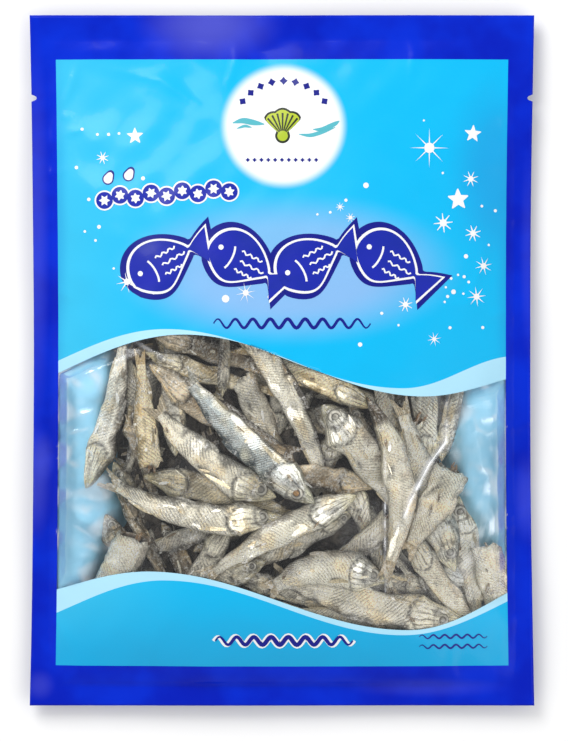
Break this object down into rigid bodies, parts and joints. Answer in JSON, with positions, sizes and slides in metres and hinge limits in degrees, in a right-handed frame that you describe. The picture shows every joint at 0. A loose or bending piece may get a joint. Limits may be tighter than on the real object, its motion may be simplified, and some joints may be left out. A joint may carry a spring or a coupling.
{
  "type": "pouch of dried anchovies",
  "caption": "Flat printed film pouch, welded on all edges with tear notches, lying on its back; dried anchovies show through a wavy clear window.",
  "frame": {"origin": "on the resting plane under the middle of the pouch", "axes": "+Y towards the pouch's top edge, +X to the viewer's right on its front, +Z out of its front"},
  "size_m": [0.25, 0.342, 0.0386],
  "materials": {
    "pouch_film": "glossy printed film, royal blue border and sky blue panels, clear window",
    "dried_fish": "dry silvery skin with fine scales, pale beige to grey brown"
  },
  "bodies": {
    "root": {"pouch": "pouch_film", "anchovies": "dried_fish"}
  },
  "joints": []
}
